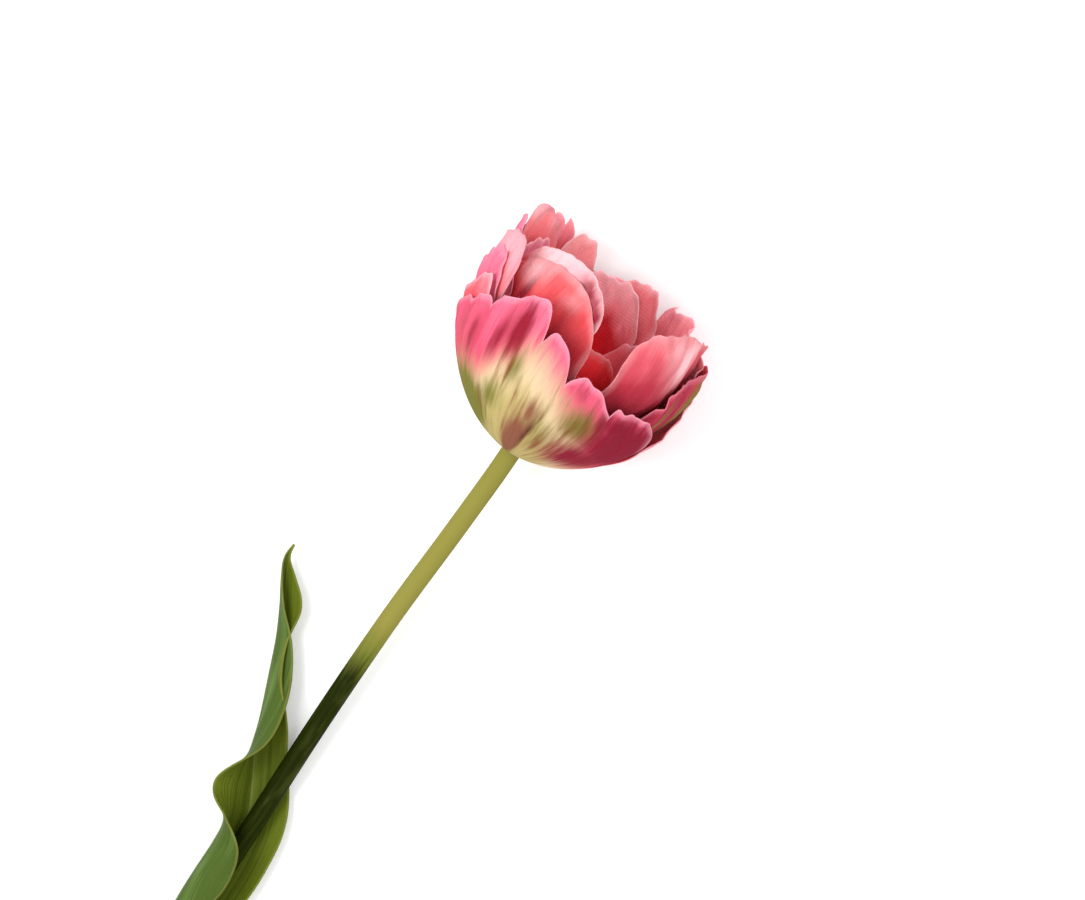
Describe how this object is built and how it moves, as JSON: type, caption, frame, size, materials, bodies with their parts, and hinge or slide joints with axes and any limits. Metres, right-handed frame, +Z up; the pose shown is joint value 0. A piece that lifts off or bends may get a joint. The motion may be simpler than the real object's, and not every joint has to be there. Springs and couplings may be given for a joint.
{
  "type": "double tulip",
  "caption": "Cut double tulip lying on its side, with a clasping folded leaf and a full bloom of nested, notched and fringed petals",
  "frame": {"origin": "the middle of the flower's footprint, on the surface that it lies on", "axes": "+Y runs along the stem from its cut end towards the bloom, +Z is up, away from the surface, and +X is to the right of someone who looks down with the bloom at the top"},
  "size_m": [0.0846, 0.3092, 0.0892],
  "materials": {
    "petal": "matte",
    "stem": "satin",
    "leaf": "satin",
    "heart": "matte"
  },
  "bodies": {
    "root": {"stem": "stem", "leaf": "leaf", "heart": "heart", "petal_heart_front": "petal", "petal_inner_right": "petal", "petal_right_back": "petal", "petal_rim": "petal", "petal_heart_back": "petal", "petal_hood": "petal", "petal_left_tip": "petal", "petal_back_thin": "petal", "petal_back_round": "petal", "petal_left_pale": "petal", "petal_peak": "petal", "petal_right_outer": "petal", "petal_left_middle": "petal", "petal_peak_crinkled": "petal", "petal_left_low": "petal", "petal_right_flame": "petal", "petal_under_right": "petal", "petal_under_left": "petal", "petal_under_middle": "petal", "petal_front": "petal"}
  },
  "joints": []
}
